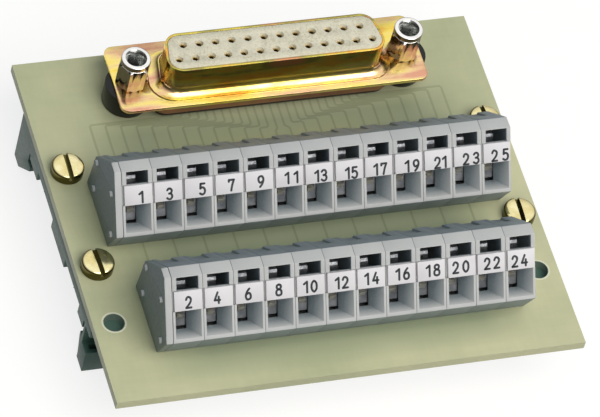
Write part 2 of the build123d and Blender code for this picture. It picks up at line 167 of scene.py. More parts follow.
# Foot screws: a slotted head with an (inward, up) rim and a (radius, drop) crown
foot_screws = {
    "left_far": (-36.0, 11.45),
    "left_near": (-36.0, -8.0),
    "right_far": (36.0, 11.45),
    "right_near": (36.0, -8.0),
}
foot_shank_radius = 1.5
foot_shank_end = 7.4
foot_shank_lead = 0.25
head_radius = 2.7
head_edge = 0.1
head_side = 1.45
head_top = 14.7
head_rim = ((0.0, 0.0), (0.06, 0.16), (0.2, 0.3), (0.42, 0.39))
head_crown = ((1.6, 0.07), (0.8, 0.02), (0.2, 0.0))
head_slot_width = 0.8
head_slot_depth = 0.95
head_slot_turn = 4
cutter_length = 3 * head_radius
cutter_height = 2.0

# Connector's skirt, the raised pad round it and the drawn fillet between them
skirt_width = 38.4
skirt_depth = 7.9
skirt_side_angle = 10.0
skirt_corner = 2.6
pad_margin = 1.3
pad_end_margin = 2.3
pad_height = 0.35
fillet_rise = 1.5
fillet_bury = 0.2
fillet_overlap = 0.1

# Widths of the rounded edges of moulded and drawn pieces
housing_edge = 0.13
edge_widths = {
    "end_plate_row_1": 0.2,
    "end_plate_row_2": 0.2,
    "rail_foot_left": 0.25,
    "rail_foot_right": 0.25,
    "standoff_left": 0.15,
    "standoff_right": 0.15,
    "connector_front_shell": 0.14,
    "connector_rear_shell": 0.3,
    "connector_front_insulator": 0.1,
}

# Meshes: how fine they are, and the angles from which edges count as sharp
weld_distance = 0.002
flat_angle = 1.0
bevel_segments = 2
bevel_angle = 28.0
smooth_angle = 32.0
screw_head_angle = 25
round_steps = 48
joint_steps = 12
corner_steps = 6
fillet_steps = 7
stroke_steps = 5
end_steps = 3
end_bluntness = 0.4
sharpest_mitre = 0.5

# Light: levels are shares of the plain level at which a colour renders as written
white = (1.0, 1.0, 1.0)
surround_level = 0.23
surround_colour = (0.68, 0.88, 1.0)
key_level = 1.08
key_colour = (1.0, 0.975, 0.94)
key_direction = (0.22, -0.55, 0.81)
key_distance = 850.0
key_size = 850.0
floor_reach = 1500.0
floor_drop = 0.02
floor_colour = (0.27, 0.26, 0.24)
floor_glow = 0.8
sky_direction = (0.2, 0.15, 0.968)
room_grey = (0.055, 0.05, 0.045)
sky_edge_dark = 0.25
sky_edge_white = 0.84

# Surfaces: shade, clouds and grain in features for each millimetre, relief as its depth
plastic_specular = 0.35
plastic_shade = 0.12
plastic_grain = 2.5
plastic_unevenness = 0.06
plastic_relief = 0.015
speckle_relief = 0.02
laminate_specular = 0.4
laminate_clouds = 0.045
laminate_weave = 1.1
weave_stretch = 0.15
laminate_relief = 0.004
metal_relief = 0.004
marks_to_a_patch = 6
# Height over which turned metal fades from its painted shade to its bright top
painted_shade_blend = 0.2
chromate_relief = 0.012
chromate_reach = 30
chromate_middle = 0.52
chromate_climb = (flange_face + 1.5, flange_face + 6)
noise_spread = (0.3, 0.7)
patch_spread = (0.32, 0.68)


def add_object(name, data):
    """New object in the scene."""
    item = bpy.data.objects.new(name, data)
    bpy.context.scene.collection.objects.link(item)
    return item


def aim_camera():
    """Camera at the photograph's viewing angle."""
    azimuth, elevation, roll = map(math.radians, (camera_azimuth, camera_elevation, camera_roll))
    level = math.cos(elevation)
    forward = Vector((math.sin(azimuth) * level, math.cos(azimuth) * level, -math.sin(elevation)))
    level_right = forward.cross(Vector((0, 0, 1))).normalized()
    level_up = level_right.cross(forward)
    right = math.cos(roll) * level_right + math.sin(roll) * level_up
    up = right.cross(forward)
    data = bpy.data.cameras.new("photo_camera")
    data.sensor_fit = "HORIZONTAL"
    data.sensor_width = sensor_width
    data.lens = focal_pixels / image_width * sensor_width
    data.clip_start = nearest_shown * MM
    data.clip_end = farthest_shown * MM
    camera = add_object("photo_camera", data)
    turn = Matrix((right, up, -forward)).transposed().to_4x4()
    place = (Vector(camera_target) - camera_distance * forward) * MM
    camera.matrix_world = Matrix.Translation(place) @ turn
    bpy.context.scene.camera = camera


def math_node(tree, operation, first, second):
    """Result of an operation on two values, each a number or another node's output."""
    node = tree.nodes.new("ShaderNodeMath")
    node.operation = operation
    for socket, value in zip(node.inputs, (first, second)):
        if isinstance(value, (int, float)):
            socket.default_value = value
        else:
            tree.links.new(value, socket)
    return node.outputs["Value"]


def along_node(tree, source, direction):
    """How far a vector points along a fixed direction."""
    node = tree.nodes.new("ShaderNodeVectorMath")
    node.operation = "DOT_PRODUCT"
    tree.links.new(source, node.inputs[0])
    node.inputs[1].default_value = direction
    return node.outputs["Value"]


def ramp_node(tree, factor, stops):
    """Colour by factor, from (position, colour) stops."""
    node = tree.nodes.new("ShaderNodeValToRGB")
    elements = node.color_ramp.elements
    while len(elements) < len(stops):
        elements.new(0.5)
    for element, (position, colour) in zip(elements, stops):
        element.position = position
        element.color = (*colour, 1.0)
    tree.links.new(factor, node.inputs["Fac"])
    return node.outputs["Color"]


def mix_node(tree, factor, first, second):
    """Colour between two, each a fixed colour or another node's output."""
    node = tree.nodes.new("ShaderNodeMix")
    node.data_type = "RGBA"
    tree.links.new(factor, node.inputs["Factor"])
    colours = [socket for socket in node.inputs if socket.type == "RGBA"]
    for socket, value in zip(colours, (first, second)):
        if isinstance(value, tuple):
            socket.default_value = (*value, 1.0)
        else:
            tree.links.new(value, socket)
    return [socket for socket in node.outputs if socket.type == "RGBA"][0]


class Finish:
    """A node material that works in the model's millimetres."""

    def __init__(self, name):
        self.material = bpy.data.materials.new(name)
        self.material.use_nodes = True
        self.tree = self.material.node_tree
        self.shader = self.tree.nodes["Principled BSDF"]
        coordinates = self.tree.nodes.new("ShaderNodeTexCoord").outputs
        self.place = coordinates["Object"]
        self.normal = coordinates["Normal"]

    def set(self, **values):
        """Constant values on the shader's own sockets, by names with _ for a space."""
        for name, value in values.items():
            self.shader.inputs[name.replace("_", " ")].default_value = value
        return self

    def noise(self, scale, detail=2.0, stretch=(1, 1, 1), roughness=0.5):
        """Noise with about this many features in each millimetre."""
        mapping = self.tree.nodes.new("ShaderNodeMapping")
        mapping.inputs["Scale"].default_value = [per_metre * scale * value for value in stretch]
        self.tree.links.new(self.place, mapping.inputs["Vector"])
        noise = self.tree.nodes.new("ShaderNodeTexNoise")
        noise.inputs["Scale"].default_value = 1.0
        noise.inputs["Detail"].default_value = detail
        noise.inputs["Roughness"].default_value = roughness
        self.tree.links.new(mapping.outputs["Vector"], noise.inputs["Vector"])
        return noise.outputs["Fac"]

    def range(self, value, from_low, from_high, to_low, to_high):
        """A value's range stretched to another, without going past its ends."""
        node = self.tree.nodes.new("ShaderNodeMapRange")
        node.inputs["From Min"].default_value = from_low
        node.inputs["From Max"].default_value = from_high
        node.inputs["To Min"].default_value = to_low
        node.inputs["To Max"].default_value = to_high
        self.tree.links.new(value, node.inputs["Value"])
        return node.outputs["Result"]

    def axis(self, name, low, high):
        """0 to 1 between two places on an axis."""
        split = self.tree.nodes.new("ShaderNodeSeparateXYZ")
        self.tree.links.new(self.place, split.inputs["Vector"])
        return self.range(split.outputs[name], low * MM, high * MM, 0, 1)

    def facing(self, direction, low, high):
        """0 to 1 as the surface turns to face a direction."""
        return self.range(along_node(self.tree, self.normal, direction), low, high, 0, 1)

    def math(self, operation, first, second=0.0):
        return math_node(self.tree, operation, first, second)

    def weighted(self, *terms):
        """Sum of (value, weight) terms."""
        parts = [self.math("MULTIPLY", value, weight) for value, weight in terms]
        total = parts[0]
        for part in parts[1:]:
            total = self.math("ADD", total, part)
        return total

    def ramp(self, factor, stops):
        return ramp_node(self.tree, factor, stops)

    def two_tone(self, noise, dark, light, spread=noise_spread):
        """Colour from dark to light as a noise goes through its spread."""
        low, high = spread
        return self.ramp(noise, [(low, dark), (high, light)])

    def mix(self, factor, first, second):
        return mix_node(self.tree, factor, first, second)

    def colour(self, source):
        """Takes the surface's colour from a node's output."""
        self.tree.links.new(source, self.shader.inputs["Base Color"])

    def gloss(self, noise, low, high, spread=noise_spread):
        """Roughness that goes from low to high as a noise goes through its spread."""
        rough = self.range(noise, *spread, low, high)
        self.tree.links.new(rough, self.shader.inputs["Roughness"])

    def bump(self, height, depth):
        """Fine relief of this depth, and the finish is complete."""
        node = self.tree.nodes.new("ShaderNodeBump")
        node.inputs["Distance"].default_value = depth * MM
        self.tree.links.new(height, node.inputs["Height"])
        self.tree.links.new(node.outputs["Normal"], self.shader.inputs["Normal"])
        return self


def tone(red, green, blue):
    """A display colour from 0 to 255, as the linear colour the shader takes."""
    def linear(value):
        share = value / 255
        return share / 12.92 if share <= 0.04045 else ((share + 0.055) / 1.055) ** 2.4
    return (linear(red), linear(green), linear(blue))


def moulded(name, dark, light, roughness, depth=plastic_relief):
    """Moulded plastic: slow change of shade, fine grain and a slightly uneven gloss."""
    finish = Finish(name).set(Specular_IOR_Level=plastic_specular)
    shade = finish.noise(plastic_shade, detail=3)
    finish.colour(finish.two_tone(shade, dark, light))
    fine = finish.noise(plastic_grain, detail=3)
    finish.gloss(fine, roughness - plastic_unevenness, roughness + plastic_unevenness)
    return finish.bump(fine, depth)


def two_faced(name, dark, light, lit_tones, grain):
    """Moulded plastic with painted shade: smooth and plain where it faces the front, grained and
    painted darker and bluer as shade elsewhere.
    """
    finish = Finish(name).set(Specular_IOR_Level=plastic_specular)
    specks = finish.noise(grain, detail=4, roughness=0.65)
    grain_and_painted_shade = finish.two_tone(specks, dark, light, spread=(0.36, 0.66))
    shade = finish.two_tone(finish.noise(plastic_shade, detail=3), *lit_tones)
    front_lit_share = finish.facing(painted_light_direction, 0.5, 0.85)
    finish.colour(finish.mix(front_lit_share, grain_and_painted_shade, shade))
    finish.gloss(specks, 0.48, 0.62)
    return finish.bump(specks, plastic_relief)


def speckled(name, dark, light):
    """Glass-filled plastic with fine dark and light specks."""
    finish = Finish(name).set(Specular_IOR_Level=plastic_specular)
    specks = finish.noise(3.2, detail=3, roughness=0.7)
    clouds = finish.noise(0.3, detail=2)
    blend = finish.weighted((specks, 0.75), (clouds, 0.25))
    finish.colour(finish.two_tone(blend, dark, light, spread=(0.36, 0.54)))
    finish.gloss(specks, 0.45, 0.6, spread=(0.35, 0.65))
    return finish.bump(specks, speckle_relief)


def metal(name, dark, light, roughness, scale=0.6):
    """Plated metal: patches of tone, and faint marks in the gloss."""
    finish = Finish(name).set(Metallic=1.0)
    patches = finish.noise(scale, detail=4)
    finish.colour(finish.two_tone(patches, dark, light, patch_spread))
    marks = finish.noise(scale * marks_to_a_patch, detail=3)
    finish.gloss(marks, roughness * 0.7, roughness * 1.4)
    return finish.bump(marks, metal_relief)


def turned_metal(name, dark, light, side, facing, above, waviness):
    """Turned metal with painted light and shade: bright where it faces up above a height, and
    painted dark elsewhere, as shade and dark reflections on its sides and down in its hollows.
    """
    finish = Finish(name).set(Metallic=1.0)
    patches = finish.noise(0.5, detail=4)
    top = finish.two_tone(patches, dark, light, patch_spread)
    upward = finish.facing((0, 0, 1), *facing)
    height = finish.axis("Z", above - painted_shade_blend, above)
    upper_lit_share = finish.math("MULTIPLY", upward, height)
    finish.colour(finish.mix(upper_lit_share, side, top))
    finish.gloss(patches, 0.12, 0.2)
    return finish.bump(finish.noise(0.35, detail=2), waviness)


def laminate(name, dark, light, painted_shade_tone):
    """Pale glass laminate with a faint weave, painted darker as shade over the area of the rows
    and the connector.
    """
    finish = Finish(name).set(Specular_IOR_Level=laminate_specular)
    clouds = finish.noise(laminate_clouds, detail=4)
    weave_x = finish.noise(laminate_weave, detail=1, stretch=(weave_stretch, 1, 1))
    weave_y = finish.noise(laminate_weave, detail=1, stretch=(1, weave_stretch, 1))
    weave = finish.math("ADD", weave_x, weave_y)
    blend = finish.weighted((clouds, 0.86), (weave, 0.07))
    unshaded = finish.two_tone(blend, dark, light, spread=(0.36, 0.64))
    painted_shade_mask = finish.axis(*painted_shade_fades[0])
    for fade in painted_shade_fades[1:]:
        painted_shade_mask = finish.math("MULTIPLY", painted_shade_mask, finish.axis(*fade))
    finish.colour(finish.mix(painted_shade_mask, unshaded, painted_shade_tone))
    finish.gloss(weave, 0.36, 0.46, spread=(0.8, 1.2))
    return finish.bump(weave, laminate_relief)


def chromate(name, stops, gloss, lean=0.0, rise=0.0):
    """Chromate on steel: clouds of tone that can drift to the ends and up the skirt."""
    finish = Finish(name).set(Metallic=1.0)
    clouds = finish.noise(0.1, detail=4, stretch=(0.7, 1.5, 1.5), roughness=0.55)
    wave = finish.noise(0.4, detail=3, stretch=(0.25, 1.5, 1.5))
    along = finish.axis("X", -chromate_reach, chromate_reach)
    from_middle = finish.math("ABSOLUTE", finish.math("SUBTRACT", along, chromate_middle))
    climb = finish.axis("Z", *chromate_climb)
    drift = finish.weighted((clouds, 0.6), (wave, 0.4), (from_middle, -lean), (climb, rise))
    finish.colour(finish.ramp(drift, stops))
    fine = finish.noise(1.6, detail=4)
    finish.gloss(fine, *gloss)
    return finish.bump(finish.weighted((fine, 1), (clouds, 6)), chromate_relief)


chromate_tones = [
    (0.3, tone(228, 168, 138)),
    (0.37, tone(244, 204, 154)),
    (0.44, tone(252, 230, 142)),
    (0.52, tone(252, 226, 108)),
    (0.58, tone(244, 178, 84)),
    (0.63, tone(216, 200, 98)),
    (0.68, tone(166, 158, 88)),
    (0.75, tone(214, 152, 110)),
]
rear_shell_tones = [
    (0.35, tone(150, 104, 86)),
    (0.5, tone(178, 124, 98)),
    (0.65, tone(150, 130, 84)),
]
# Lit tone of the grey plastic, beside the darker tones painted as shade
front_lit_grey = (tone(190, 190, 188), tone(199, 198, 196))
finishes = {
    # The last tone of the board and of the tracks on top is their painted shade
    "board": laminate(
        "board_laminate", tone(184, 187, 147), tone(211, 208, 168), painted_shade_tone=tone(157, 164, 133)
    ),
    "track": laminate(
        "covered_track", tone(167, 171, 132), tone(191, 190, 150), painted_shade_tone=tone(142, 149, 120)
    ),
    # Grey plastic: its first two tones are painted shade on faces turned away from the front
    "housing": two_faced(
        "grey_plastic", tone(136, 146, 151), tone(149, 157, 161), front_lit_grey, grain=2.5
    ),
    # End plates: a still darker and bluer copy of the grey plastic, painted shade on their side
    # faces
    "end_plate": two_faced(
        "end_plate_plastic", tone(122, 132, 132), tone(142, 150, 149), front_lit_grey, grain=2.2
    ),
    "tag": moulded("white_tag", tone(220, 215, 217), tone(231, 227, 228), 0.5, depth=0.006),
    "ink": moulded("print_ink", tone(42, 46, 50), tone(60, 64, 68), 0.55, depth=0.002),
    "foot": moulded("green_grey_plastic", tone(68, 96, 85), tone(84, 113, 100), 0.45),
    "standoff": moulded("black_plastic", tone(8, 10, 11), tone(18, 20, 21), 0.22),
    "insulator": speckled("connector_plastic", tone(208, 198, 170), tone(236, 228, 204)),
    "rear_insulator": moulded("rear_plastic", tone(48, 40, 36), tone(62, 52, 46), 0.5),
    "ring": moulded("bare_ring", tone(222, 220, 190), tone(236, 233, 208), 0.5, depth=0.004),
    # Darker hole lining: painted shade inside the spare holes
    "liner": moulded("hole_wall", tone(100, 118, 108), tone(126, 141, 128), 0.6),
    "shell": chromate("yellow_chromate", chromate_tones, (0.14, 0.24), lean=0.22, rise=0.2),
    "rear_shell": chromate("brown_chromate", rear_shell_tones, (0.3, 0.4)),
    # Nickel and brass: the third tone is painted shade and dark reflection, on the sides and below
    # the given height
    "nickel": turned_metal(
        "bright_nickel", tone(236, 234, 230), tone(252, 251, 248), tone(112, 104, 92),
        facing=(0.5, 0.9), above=22.0, waviness=0.02
    ),
    "brass": turned_metal(
        "brass", tone(226, 208, 140), tone(250, 240, 188), tone(94, 88, 48),
        facing=(0.7, 0.96), above=head_top - 0.4, waviness=0.035
    ),
    "bore": metal("threaded_steel", tone(138, 142, 140), tone(200, 202, 198), 0.2),
    "bar": metal("tinned_copper", tone(232, 224, 206), tone(252, 247, 234), 0.5),
    "spring": metal("spring_steel", tone(108, 111, 116), tone(146, 148, 151), 0.42),
    "contact": metal("contact_gold", tone(186, 156, 92), tone(222, 194, 128), 0.25),
    "solder": metal("solder", tone(186, 188, 190), tone(226, 226, 224), 0.26, scale=1.2),
    "tinned": metal("tinned_track", tone(178, 176, 166), tone(208, 206, 196), 0.32, scale=0.8),
}

# Nodes with another finish than their slot's
own_finishes = {
    "connector_rear_shell": "rear_shell",
    "connector_rear_insulator": "rear_insulator",
    # The end plates' darker plastic is painted shade
    "end_plate_row_1": "end_plate",
    "end_plate_row_2": "end_plate",
}


def dress(piece, finish):
    """Gives a piece its only material."""
    piece.data.materials.clear()
    piece.data.materials.append(finishes[finish].material)


def add_piece(name, data, finish, replaced=()):
    """New piece on the fixed body, with the record slot that it stands for."""
    piece = add_object(name, data)
    dress(piece, finish)
    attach(piece, "root")
    if replaced:
        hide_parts(*replaced)
    return piece


def settled(mesh, name="work"):
    """Mesh data from an edited mesh, which ends here."""
    data = bpy.data.meshes.new(name)
    mesh.to_mesh(data)
    mesh.free()
    return data


def modified(piece):
    """Mesh data of a piece as its modifiers leave it."""
    bpy.context.view_layer.update()
    shown = piece.evaluated_get(bpy.context.evaluated_depsgraph_get())
    return bpy.data.meshes.new_from_object(shown)


def discard(piece):
    """Takes a working object and its mesh out again."""
    data = piece.data
    bpy.data.objects.remove(piece)
    bpy.data.meshes.remove(data)


def smooth(data, angle=smooth_angle):
    """Smooth shading, kept sharp at edges above an angle."""
    mesh = bmesh.new()
    mesh.from_mesh(data)
    for face in mesh.faces:
        face.smooth = True
    for edge in mesh.edges:
        sharp = len(edge.link_faces) != 2 or edge.calc_face_angle(0) > math.radians(angle)
        edge.smooth = not sharp
    mesh.to_mesh(data)
    mesh.free()
    return data


def new_object(name, mesh, finish, replaced=(), angle=smooth_angle):
    """Piece made from an edited mesh."""
    bmesh.ops.recalc_face_normals(mesh, faces=mesh.faces)
    return add_piece(name, smooth(settled(mesh, name), angle), finish, replaced)


def clean_mesh(node):
    """Copy of a node's mesh with its flat faces joined again."""
    mesh = bmesh.new()
    mesh.from_mesh(nodes[node].data)
    bmesh.ops.remove_doubles(mesh, verts=mesh.verts, dist=weld_distance * MM)
    bmesh.ops.dissolve_limit(
        mesh,
        angle_limit=math.radians(flat_angle),
        verts=mesh.verts,
        edges=mesh.edges,
        delimit=set(),
    )
    return mesh


def bevelled(mesh, width):
    """Rounds a mesh's sharp edges, as moulded or finished edges are."""
    work = add_object("work", settled(mesh))
    bevel = work.modifiers.new("edges", "BEVEL")
    bevel.width = width * MM
    bevel.segments = bevel_segments
    bevel.limit_method = "ANGLE"
    bevel.angle_limit = math.radians(bevel_angle)
    result = modified(work)
    discard(work)
    return result


def soften(node, width, finish):
    """Shows a node with rounded edges, in its own place."""
    data = smooth(bevelled(clean_mesh(node), width))
    add_piece(f"{node}.finish", data, finish, [node])


def dress_nodes():
    """Materials for every node, with rounded copies where edges show."""
    for name, node in nodes.items():
        finish = own_finishes.get(name, node_slots[name])
        dress(node, finish)
        if name.startswith("terminal_housing"):
            soften(name, housing_edge, finish)
        elif name in edge_widths:
            soften(name, edge_widths[name], finish)


def join_loops(mesh, loops, closed):
    """Skin over a run of loops of points, joined up into a ring or given flat ends."""
    followers = loops[1:] + loops[:1] if closed else loops[1:]
    for first, second in zip(loops, followers):
        for index in range(len(first)):
            after = (index + 1) % len(first)
            mesh.faces.new((first[index], first[after], second[after], second[index]))
    if not closed:
        mesh.faces.new(loops[0][::-1])
        mesh.faces.new(loops[-1])


def ring_points(shape, radius, z, x, y, count):
    """Closed ring of points: round, or hexagonal with this half width across its flats."""
    points = []
    for index in range(count):
        angle = 2 * math.pi * index / count
        reach = radius
        if shape == "hex":
            off_flat = (angle % (math.pi / 3)) - math.pi / 6
            reach = radius / math.cos(off_flat)
        points.append(Vector((x + reach * math.cos(angle), y + reach * math.sin(angle), z)) * MM)
    return points


def add_rings(mesh, rings, x, y, count=round_steps, closed=False):
    """Skin over a run of rings (shape, radius, z)."""
    loops = [[mesh.verts.new(p) for p in ring_points(*ring, x, y, count)] for ring in rings]
    join_loops(mesh, loops, closed)


def add_tube(mesh, inner, outer, low, high, x, y):
    """Closed ring with a square section."""
    section = ((inner, low), (outer, low), (outer, high), (inner, high))
    add_rings(mesh, [("round", radius, z) for radius, z in section], x, y, closed=True)


def thread_rings(radius, start, end):
    """Rings of a screw thread's ridges between two heights."""
    turns = max(1, round(abs(end - start) / thread_step))
    rise = (end - start) / turns
    rings = []
    for turn in range(turns):
        base = start + turn * rise
        rings.append(("round", radius, base + thread_crest * rise))
        rings.append(("round", radius - thread_depth, base + thread_root * rise))
    return rings


def shank_rings(radius, end, lead):
    """Rings of a screw's threaded shank, from its tip up to the board."""
    return [
        ("round", radius - lead, end),
        ("round", radius, end + lead),
        *thread_rings(radius, end + lead, board_underside),
        ("round", radius, board_underside),
    ]


def make_jackscrews():
    """Hexagonal jackscrews with a turned collar and a threaded bore."""
    body = shank_rings(shank_radius, shank_end, shank_lead) + [
        ("round", shank_radius, flange_face),
        ("round", hex_half_width, flange_face),
        ("hex", hex_half_width, flange_face + hex_low_chamfer),
        ("hex", hex_half_width, collar_start - hex_top_chamfer),
        ("round", hex_half_width, collar_start - collar_groove),
        ("round", collar_radius - collar_edge, collar_start),
        ("round", collar_radius, collar_start + collar_edge),
        ("round", collar_radius, jack_top - rim_edge),
        ("round", collar_radius - rim_step, jack_top - rim_step),
        ("round", collar_radius - rim_edge, jack_top),
        ("round", bore_mouth + bore_edge, jack_top),
        ("round", bore_mouth, jack_top - bore_edge),
        ("round", bore_mouth, bore_floor),
        ("round", bore_tip_radius, bore_floor - bore_tip_depth),
    ]
    thread = [
        ("round", bore_mouth, bore_floor),
        ("round", bore_mouth, jack_top - bore_thread_cover),
        *thread_rings(bore_thread_radius, jack_top - bore_thread_start, bore_floor),
        ("round", bore_thread_radius - thread_depth, bore_floor),
    ]
    for side, (x, y) in jackscrews.items():
        name = f"jackscrew_{side}"
        mesh = bmesh.new()
        add_rings(mesh, body, x, y)
        new_object(f"{name}.finish", mesh, "nickel", [name], angle=20)
        mesh = bmesh.new()
        add_rings(mesh, thread, x, y)
        new_object(f"{name}.thread", mesh, "bore", angle=50)


def cut_box(piece, centre, size, turn, angle):
    """Cuts a box out of a piece, turned about the vertical, and smooths the piece again."""
    mesh = bmesh.new()
    matrix = (
        Matrix.Translation(Vector(centre) * MM)
        @ Matrix.Rotation(math.radians(turn), 4, "Z")
        @ Matrix.Diagonal((*(Vector(size) * MM), 1))
    )
    bmesh.ops.create_cube(mesh, size=1, matrix=matrix)
    cutter = add_object("cutter", settled(mesh))
    cut = piece.modifiers.new("cut", "BOOLEAN")
    cut.operation = "DIFFERENCE"
    cut.solver = "EXACT"
    cut.object = cutter
    result = modified(piece)
    piece.modifiers.clear()
    piece.data = smooth(result, angle)
    discard(cutter)


def make_foot_screws():
    """Slotted brass screws with a rounded rim and a threaded end."""
    rings = shank_rings(foot_shank_radius, foot_shank_end, foot_shank_lead) + [
        ("round", foot_shank_radius, board_top),
        ("round", head_radius - head_edge, board_top),
        ("round", head_radius, board_top + head_edge),
    ]
    for inward, up in head_rim:
        rings.append(("round", head_radius - inward, board_top + head_side + up))
    for radius, drop in head_crown:
        rings.append(("round", radius, head_top - drop))
    slot_middle = head_top - head_slot_depth + cutter_height / 2
    slot_size = (head_slot_width, cutter_length, cutter_height)
    for place, (x, y) in foot_screws.items():
        name = f"foot_screw_{place}"
        mesh = bmesh.new()
        add_rings(mesh, rings, x, y)
        screw = new_object(f"{name}.finish", mesh, "brass", [name], screw_head_angle)
        turn = random.uniform(-head_slot_turn, head_slot_turn)
        cut_box(screw, (x, y, slot_middle), slot_size, turn, screw_head_angle)


def d_outline(width, depth, corner):
    """Points round the connector's outline: two slanted ends and rounded corners."""
    taper = depth * math.tan(math.radians(skirt_side_angle))
    half = width / 2
    near, far = -depth / 2, depth / 2
    spots = ((-half, near), (half, near), (half - taper, far), (taper - half, far))
    corners = [Vector(spot) for spot in spots]
    befores = corners[-1:] + corners[:-1]
    afters = corners[1:] + corners[:1]
    points = []
    for before, spot, after in zip(befores, corners, afters):
        arriving = (spot - before).normalized()
        leaving = (after - spot).normalized()
        turn = arriving.angle(leaving)
        start = spot - arriving * (corner * math.tan(turn / 2))
        centre = start + Vector((-arriving.y, arriving.x)) * corner
        first = math.atan2(start.y - centre.y, start.x - centre.x)
        for step in range(corner_steps + 1):
            angle = first + turn * step / corner_steps
            points.append(centre + Vector((math.cos(angle), math.sin(angle))) * corner)
    return points


def make_shell_fillet():
    """Hollow fillet round the skirt, out to the pad's rim."""
    skirt = d_outline(skirt_width, skirt_depth, skirt_corner)
    pad_width = skirt_width + 2 * pad_end_margin
    pad_depth = skirt_depth + 2 * pad_margin
    pad = d_outline(pad_width, pad_depth, skirt_corner + pad_margin)
    base = flange_face + pad_height
    section = []
    for step in range(fillet_steps + 1):
        angle = math.pi / 2 * step / fillet_steps
        section.append((1 - math.cos(angle), base + fillet_rise * (1 - math.sin(angle))))
    section.append((1.0, base - fillet_bury))
    section.append((-fillet_overlap, base - fillet_bury))
    section.append((-fillet_overlap, base + fillet_rise))
    mesh = bmesh.new()
    loops = []
    for share, z in section:
        loop = []
        for inner, outer in zip(skirt, pad):
            spot = inner.lerp(outer, share) + Vector((connector_x, connector_y))
            loop.append(mesh.verts.new(Vector((spot.x, spot.y, z)) * MM))
        loops.append(loop)
    join_loops(mesh, loops, closed=True)
    new_object("connector_skirt_fillet", mesh, "shell", angle=40)


def band_edges(points, width):
    """Pairs of edge points of a band along a line, mitred at its corners."""
    headings = [(end - start).normalized() for start, end in zip(points, points[1:])]
    arriving = [headings[0]] + headings
    leaving = headings + [headings[-1]]
    pairs = []
    for point, before, after in zip(points, arriving, leaving):
        along = (before + after).normalized()
        widening = max(sharpest_mitre, along.dot(before))
        across = Vector((-along.y, along.x)) * width / 2 / widening
        pairs.append((point + across, point - across))
    return pairs


def end_edges(end, inner, width):
    """Narrowing pairs of edge points that round off a band's end."""
    out = (end - inner).normalized()
    across = Vector((out.y, -out.x))
    pairs = []
    for step in range(1, end_steps + 1):
        angle = math.pi / 2 * step / (end_steps + end_bluntness)
        spot = end + out * width / 2 * math.sin(angle)
        half = across * width / 2 * math.cos(angle)
        pairs.append((spot + half, spot - half))
    return pairs


def add_band(mesh, points, width, place, round_ends=False):
    """Closed band of this width; place(x, y, layer) puts its lower and upper faces."""
    points = [Vector(point) for point in points]
    pairs = band_edges(points, width)
    if round_ends:
        start = end_edges(points[0], points[1], width)[::-1]
        end = [(right, left) for left, right in end_edges(points[-1], points[-2], width)]
        pairs = start + pairs + end
    loops = []
    for left, right in pairs:
        corners = ((left, 0), (left, 1), (right, 1), (right, 0))
        loops.append([mesh.verts.new(place(spot.x, spot.y, layer)) for spot, layer in corners])
    join_loops(mesh, loops, closed=False)


def contact_place(index):
    """Tail of the contact with this place in the two interleaved rows."""
    middle = (contact_count - 1) // 2
    side = 1 if index % 2 else -1
    x = connector_x + (index - middle) * contact_pitch / 2
    y = connector_y + contact_row_spacing / 2 * side
    return x, y


def pin_place(index, pin=0):
    """Solder pin of the terminal that this contact serves."""
    row = 1 + index % 2
    return row_left[row] + index // 2 * pitch + pin_x, row_rear[row] + pin_y[pin]


def track_route(index):
    """Line of one track, with its corners cut off."""
    x, y = contact_place(index)
    end_x, end_y = pin_place(index)
    lane = first_lane - lane_step * min(index, contact_count - 1 - index)
    if abs(end_x - x) < least_jog:
        return [(x, y), (x, lane), (end_x, lane - 2 * track_corner), (end_x, end_y)]
    side = math.copysign(track_corner, end_x - x)
    return [
        (x, y), (x, lane + track_corner), (x + side, lane),
        (end_x - side, lane), (end_x, lane - track_corner), (end_x, end_y),
    ]


def stacked(z, thickness):
    """Places (x, y, layer) on a level face, with layers that rise by this thickness."""
    def place(x, y, layer):
        return Vector((x, y, z + layer * thickness)) * MM
    return place


def make_tracks():
    """Tracks under the board's coating on top, bare ones and solder joints underneath."""
    top, under, joints = bmesh.new(), bmesh.new(), bmesh.new()
    on_top = stacked(board_top, track_thickness)
    on_underside = stacked(board_underside, -track_thickness)
    solder_rings = [("round", radius, board_underside - drop) for radius, drop in solder_outline]
    for index in range(contact_count):
        route = track_route(index)
        add_band(top, route, track_width, on_top)
        add_band(under, route + [pin_place(index, 1)], track_width, on_underside)
        for x, y in (contact_place(index), pin_place(index), pin_place(index, 1)):
            add_rings(joints, solder_rings, x, y, joint_steps)
    new_object("tracks_top", top, "track")
    new_object("tracks_under", under, "tinned")
    new_object("solder_joints", joints, "solder", angle=50)


def make_hole_edges():
    """Pale cut ring of the spare holes, and a darker lining on their walls that is painted shade
    inside the holes.
    """
    rings, shade_linings = bmesh.new(), bmesh.new()
    ring_outer = spare_hole_radius + hole_ring_width
    ring_top = board_top + hole_ring_lift
    lining_inner = spare_hole_radius - shade_lining_thickness
    for x, y in spare_holes:
        add_tube(rings, spare_hole_radius, ring_outer, board_top, ring_top, x, y)
        add_tube(shade_linings, lining_inner, spare_hole_radius, board_underside, board_top, x, y)
    new_object("hole_rings", rings, "ring")
    new_object("hole_shade_linings", shade_linings, "liner")


